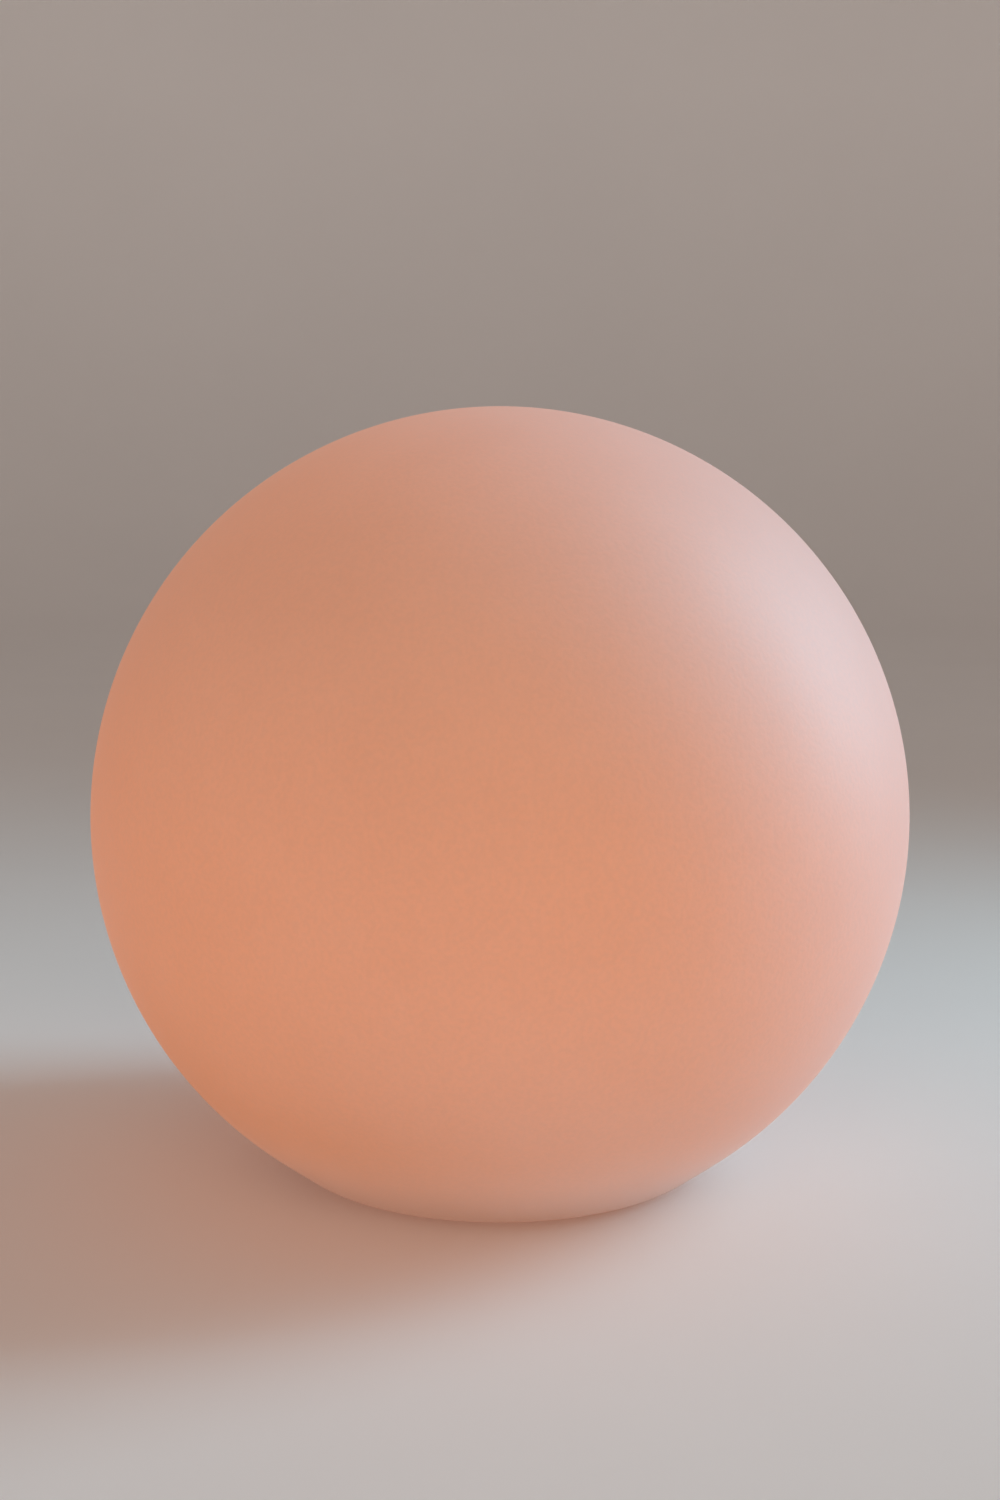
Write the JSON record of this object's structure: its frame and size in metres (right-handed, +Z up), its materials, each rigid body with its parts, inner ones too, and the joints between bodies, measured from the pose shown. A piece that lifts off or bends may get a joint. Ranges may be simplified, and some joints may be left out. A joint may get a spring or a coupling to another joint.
{
  "type": "garden globe light",
  "caption": "Translucent ball light with a flattened foot that screws down over a sealed, rechargeable lamp base.",
  "frame": {"origin": "centre of the plane that the light stands on, under its four pads", "axes": "+Z up through the ball's centre; the grip bar in the base runs along X; the power button is on +Y"},
  "size_m": [0.3999, 0.4, 0.377],
  "materials": {
    "shell_polyethylene": "satin, moulded, translucent",
    "collar_polyethylene": "satin, moulded",
    "housing_plastic": "fine spark-eroded texture",
    "black_rubber": "moulded",
    "silicone": "moulded",
    "opal_acrylic": "opal, lit from inside",
    "stainless": "plain",
    "aluminium_sheet": "milled",
    "thermal_sheet": "smooth",
    "white_board": "white solder mask",
    "green_board": "green solder mask",
    "led_phosphor": "lit",
    "chip_black": "moulded",
    "socket_white": "moulded",
    "cell_sleeve": "shrink sleeve",
    "nickel": "plain",
    "wire_sleeve": "extruded",
    "button_plastic": "satin, moulded",
    "lens_acrylic": "polished",
    "brass_pin": "plated"
  },
  "bodies": {
    "light_base": {"base_housing": "housing_plastic", "base_plate": "housing_plastic", "plate_gasket": "silicone", "plate_screws": "stainless", "foot_pads": "black_rubber", "light_dome": "opal_acrylic", "dome_oring": "black_rubber", "dome_screws": "stainless", "heat_plate": "aluminium_sheet", "heat_plate_screws": "stainless", "thermal_pad": "thermal_sheet", "led_board": "white_board", "led_chips": "led_phosphor", "remote_receiver": "chip_black", "cable_grommet": "black_rubber", "battery_cradle": "socket_white", "cradle_screws": "stainless", "battery_cells": "cell_sleeve", "battery_straps": "black_rubber", "cell_tabs": "nickel", "control_board": "green_board", "board_screws": "stainless", "control_chips": "chip_black", "power_parts": "chip_black", "wire_sockets": "socket_white", "led_leads": "wire_sleeve", "battery_leads": "wire_sleeve", "switch_leads": "wire_sleeve", "jack_leads": "wire_sleeve", "button_boot": "silicone", "tact_switch": "chip_black", "switch_board": "green_board", "switch_board_screws": "stainless", "indicator_led": "led_phosphor", "status_lens": "lens_acrylic", "charge_jack": "chip_black", "jack_pin": "brass_pin", "jack_seal": "silicone", "jack_nut": "nickel"},
    "seal_ring": {"neck_seal": "silicone"},
    "globe": {"globe_shell": "shell_polyethylene", "neck_collar": "collar_polyethylene"},
    "power_button": {"button_cap": "button_plastic", "switch_plunger": "socket_white"},
    "charge_bung": {"port_bung": "black_rubber", "bung_strap": "black_rubber"}
  },
  "joints": [
    {"name": "globe_twist", "type": "hinge", "parent": "seal_ring", "child": "globe", "pos_m": [0, 0, 0.03], "axis": [0, 0, 1], "range_deg": [0, 1350]},
    {"name": "globe_lift", "type": "slide", "parent": "light_base", "child": "seal_ring", "axis": [0, 0, 1], "range_m": [0, 0.09]},
    {"name": "button_press", "type": "slide", "parent": "light_base", "child": "power_button", "axis": [0, 0, 1], "range_m": [0, 0.0012], "stiffness_N_per_m": 400, "springref_m": -0.003},
    {"name": "bung_pull", "type": "slide", "parent": "light_base", "child": "charge_bung", "axis": [0, 0, -1], "range_m": [0, 0.0075]}
  ],
  "couplings": [
    {"joint": "globe_lift", "follows": "globe_twist", "m_per_rad": 0.0038197}
  ]
}
